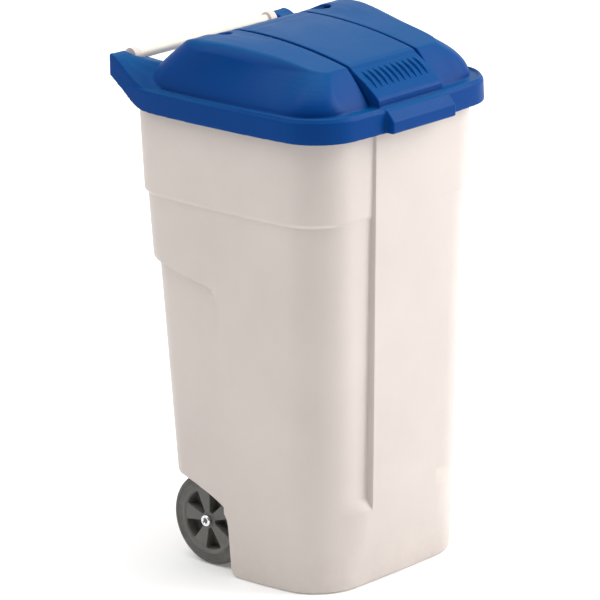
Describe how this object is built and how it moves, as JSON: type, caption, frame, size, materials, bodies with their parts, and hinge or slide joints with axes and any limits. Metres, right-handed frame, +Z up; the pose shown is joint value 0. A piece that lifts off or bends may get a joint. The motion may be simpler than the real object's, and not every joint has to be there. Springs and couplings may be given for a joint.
{
  "type": "wheelie bin",
  "caption": "Tapered two-wheeled roll-out waste bin with a hinged two-domed lid, rear handle bar and spoked wheels on an axle.",
  "frame": {"origin": "on the ground under the middle of the whole bin's outline", "axes": "+Z up, -Y towards the front of the bin, +X to the right of someone looking along +Y at the front"},
  "size_m": [0.4276, 0.4715, 0.847],
  "materials": {
    "body_plastic": "fine moulded texture",
    "handle_plastic": "smooth moulded",
    "lid_plastic": "fine moulded texture",
    "buffer_rubber": "matt",
    "hub_plastic": "moulded",
    "bush_plastic": "moulded",
    "tyre_rubber": "matt",
    "axle_steel": "drawn",
    "pin_steel": "plain",
    "cap_chrome": "bright"
  },
  "bodies": {
    "bin": {"bin_body": "body_plastic", "handle_bar": "handle_plastic", "hinge_pin_left": "pin_steel", "hinge_pin_right": "pin_steel", "drain_plug": "bush_plastic", "axle": "axle_steel", "wheel_left_spacer": "bush_plastic", "wheel_right_spacer": "bush_plastic", "wheel_left_cap": "cap_chrome", "wheel_right_cap": "cap_chrome"},
    "lid": {"lid_shell": "lid_plastic", "lid_buffers": "buffer_rubber"},
    "wheel_left": {"wheel_left_hub": "hub_plastic", "wheel_left_tyre": "tyre_rubber", "wheel_left_bush": "bush_plastic"},
    "wheel_right": {"wheel_right_hub": "hub_plastic", "wheel_right_tyre": "tyre_rubber", "wheel_right_bush": "bush_plastic"}
  },
  "joints": [
    {"name": "lid_hinge", "type": "hinge", "parent": "bin", "child": "lid", "pos_m": [0, 0.22325, 0.795], "axis": [-1, 0, 0], "range_deg": [0, 240]},
    {"name": "wheel_left_spin", "type": "hinge", "parent": "bin", "child": "wheel_left", "pos_m": [-0.151, 0.07725, 0.074], "axis": [1, 0, 0], "continuous": true},
    {"name": "wheel_right_spin", "type": "hinge", "parent": "bin", "child": "wheel_right", "pos_m": [0.151, 0.07725, 0.074], "axis": [1, 0, 0], "continuous": true}
  ]
}
